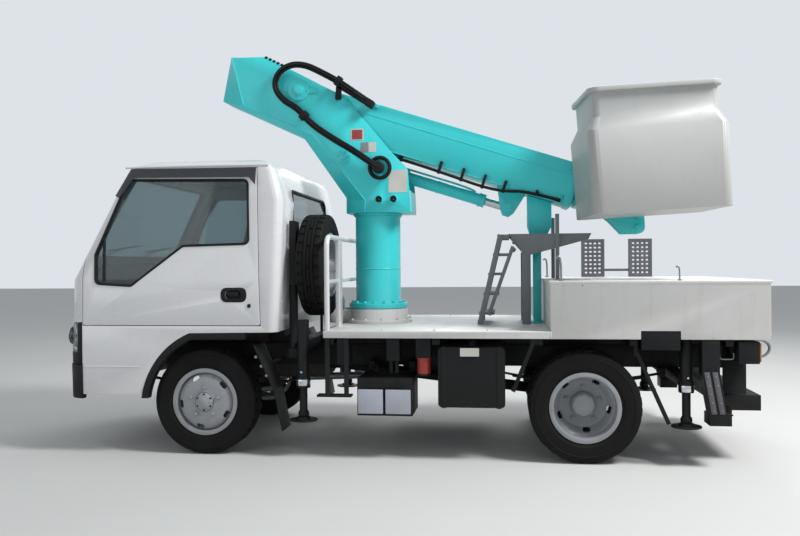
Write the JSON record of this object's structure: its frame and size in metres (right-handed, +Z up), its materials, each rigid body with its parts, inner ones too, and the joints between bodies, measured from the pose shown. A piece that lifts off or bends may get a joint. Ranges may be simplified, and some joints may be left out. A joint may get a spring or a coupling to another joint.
{
  "type": "cherry picker truck",
  "caption": "Light flat-deck truck with a slewing column, a telescopic boom and a moulded work bucket carried level at its tip.",
  "frame": {"origin": "on the ground, under the middle of the overall box", "axes": "-X towards the front of the truck, +Y towards its right side, +Z up"},
  "size_m": [4.584, 1.707, 2.832],
  "materials": {
    "white_paint": "gloss white paint, a little dusty",
    "teal_paint": "gloss blue-green paint",
    "cream_paint": "cream white deck paint, worn",
    "black_paint": "satin black paint",
    "grey_paint": "grey paint, worn",
    "silver_wheel": "silver wheel paint, dusty",
    "tyre_rubber": "worn rubber",
    "steel": "bare steel",
    "chrome_rod": "hard chrome",
    "iron": "dark cast iron",
    "clear_glass": "clear glass",
    "black_plastic": "grained black plastic",
    "hose_rubber": "black rubber hose",
    "lamp_lens": "clear lamp lens",
    "lamp_red": "red lamp lens",
    "bucket_shell": "moulded grey-white plastic",
    "seat_cloth": "grey cloth"
  },
  "bodies": {
    "truck": {"chassis_frame": "black_paint", "engine_block": "iron", "front_axle": "iron", "leaf_springs": "black_paint", "rear_axle": "iron", "propshaft": "black_paint", "cab_shell": "white_paint", "cab_glass": "clear_glass", "headlamps": "lamp_lens", "front_bumper": "black_plastic", "dashboard": "black_plastic", "seats": "seat_cloth", "front_mudguards": "black_plastic", "spare_wheel": "tyre_rubber", "guard_hoop": "black_paint", "air_intake": "black_plastic", "front_deck": "cream_paint", "rear_box": "cream_paint", "tanks": "black_paint", "battery_box": "black_paint", "hydraulic_valves": "black_paint", "exhaust": "steel", "jack_tubes": "black_paint", "side_stays": "black_paint", "rear_steps": "black_paint", "rear_lamps": "lamp_red", "slewing_base": "cream_paint", "boom_rest": "teal_paint", "access_platform": "grey_paint", "rear_racks": "grey_paint"},
    "door_left": {"door_left": "white_paint", "door_glass_left": "clear_glass"},
    "door_right": {"door_right": "white_paint", "door_glass_right": "clear_glass"},
    "knuckle_left": {"knuckle_left": "iron"},
    "knuckle_right": {"knuckle_right": "iron"},
    "wheel_front_left": {"tyre_front_left": "tyre_rubber", "rim_front_left": "silver_wheel"},
    "wheel_front_right": {"tyre_front_right": "tyre_rubber", "rim_front_right": "silver_wheel"},
    "wheels_rear_left": {"tyres_rear_left": "tyre_rubber", "rims_rear_left": "silver_wheel"},
    "wheels_rear_right": {"tyres_rear_right": "tyre_rubber", "rims_rear_right": "silver_wheel"},
    "turret": {"turret_head": "teal_paint", "turret_hoses": "hose_rubber"},
    "boom": {"boom_outer": "teal_paint", "boom_pipes": "hose_rubber"},
    "boom_second": {"boom_middle": "teal_paint"},
    "boom_third": {"boom_inner": "teal_paint"},
    "lift_barrel": {"lift_barrel": "teal_paint"},
    "lift_rod": {"lift_rod": "chrome_rod"},
    "yoke": {"level_yoke": "teal_paint"},
    "work_bucket": {"bucket": "bucket_shell", "bucket_mount": "teal_paint"},
    "jack_front_left": {"jack_leg_front_left": "steel"},
    "jack_front_right": {"jack_leg_front_right": "steel"},
    "jack_rear_left": {"jack_leg_rear_left": "steel"},
    "jack_rear_right": {"jack_leg_rear_right": "steel"}
  },
  "joints": [
    {"name": "steer_left", "type": "hinge", "parent": "truck", "child": "knuckle_left", "pos_m": [-1.305, -0.56, 0.352], "axis": [0, 0, 1], "range_deg": [-30, 30]},
    {"name": "steer_right", "type": "hinge", "parent": "truck", "child": "knuckle_right", "pos_m": [-1.305, 0.56, 0.352], "axis": [0, 0, 1], "range_deg": [-30, 30]},
    {"name": "front_left_spin", "type": "hinge", "parent": "knuckle_left", "child": "wheel_front_left", "pos_m": [-1.305, -0.697, 0.352], "axis": [0, 1, 0], "continuous": true},
    {"name": "front_right_spin", "type": "hinge", "parent": "knuckle_right", "child": "wheel_front_right", "pos_m": [-1.305, 0.697, 0.352], "axis": [0, 1, 0], "continuous": true},
    {"name": "rear_left_spin", "type": "hinge", "parent": "truck", "child": "wheels_rear_left", "pos_m": [1.185, -0.618, 0.352], "axis": [0, 1, 0], "continuous": true},
    {"name": "rear_right_spin", "type": "hinge", "parent": "truck", "child": "wheels_rear_right", "pos_m": [1.185, 0.618, 0.352], "axis": [0, 1, 0], "continuous": true},
    {"name": "door_left_swing", "type": "hinge", "parent": "truck", "child": "door_left", "pos_m": [-2.134, -0.849, 1.3], "axis": [0, 0, -1], "range_deg": [0, 70]},
    {"name": "door_right_swing", "type": "hinge", "parent": "truck", "child": "door_right", "pos_m": [-2.134, 0.849, 1.3], "axis": [0, 0, 1], "range_deg": [0, 70]},
    {"name": "slew", "type": "hinge", "parent": "truck", "child": "turret", "pos_m": [-0.247, 0, 0.938], "axis": [0, 0, 1], "range_deg": [-105, 105]},
    {"name": "boom_lift", "type": "hinge", "parent": "turret", "child": "boom", "pos_m": [-0.794, 0, 2.544], "axis": [0, -1, 0], "range_deg": [0, 93]},
    {"name": "barrel_swing", "type": "hinge", "parent": "turret", "child": "lift_barrel", "pos_m": [-0.465, 0, 2.05], "axis": [0, -1, 0], "range_deg": [0, 95.1]},
    {"name": "rod_slide", "type": "slide", "parent": "lift_barrel", "child": "lift_rod", "axis": [0.9514, 0, -0.308], "range_m": [0, 0.8596]},
    {"name": "boom_extend", "type": "slide", "parent": "boom", "child": "boom_second", "axis": [0.9511, 0, -0.309], "range_m": [0, 1.55]},
    {"name": "boom_extend_third", "type": "slide", "parent": "boom_second", "child": "boom_third", "axis": [0.9511, 0, -0.309], "range_m": [0, 1.55]},
    {"name": "bucket_level", "type": "hinge", "parent": "boom_third", "child": "yoke", "pos_m": [1.632, 0, 1.515], "axis": [0, -1, 0], "range_deg": [-93, 0]},
    {"name": "bucket_swing", "type": "hinge", "parent": "yoke", "child": "work_bucket", "pos_m": [1.625, 0, 1.5146], "axis": [-0.0576, 0, 0.9983], "range_deg": [0, 168]},
    {"name": "jack_front_left_slide", "type": "slide", "parent": "truck", "child": "jack_front_left", "axis": [0, 0, -1], "range_m": [0, 0.32]},
    {"name": "jack_front_right_slide", "type": "slide", "parent": "truck", "child": "jack_front_right", "axis": [0, 0, -1], "range_m": [0, 0.32]},
    {"name": "jack_rear_left_slide", "type": "slide", "parent": "truck", "child": "jack_rear_left", "axis": [0, 0, -1], "range_m": [0, 0.32]},
    {"name": "jack_rear_right_slide", "type": "slide", "parent": "truck", "child": "jack_rear_right", "axis": [0, 0, -1], "range_m": [0, 0.32]}
  ],
  "couplings": [
    {"joint": "steer_right", "follows": "steer_left", "ratio": 1},
    {"joint": "barrel_swing", "follows": "boom_lift", "ratio": 1.0225},
    {"joint": "rod_slide", "follows": "boom_lift", "m_per_rad": 0.52925},
    {"joint": "bucket_level", "follows": "boom_lift", "ratio": -1},
    {"joint": "boom_extend_third", "follows": "boom_extend", "ratio": 1}
  ]
}
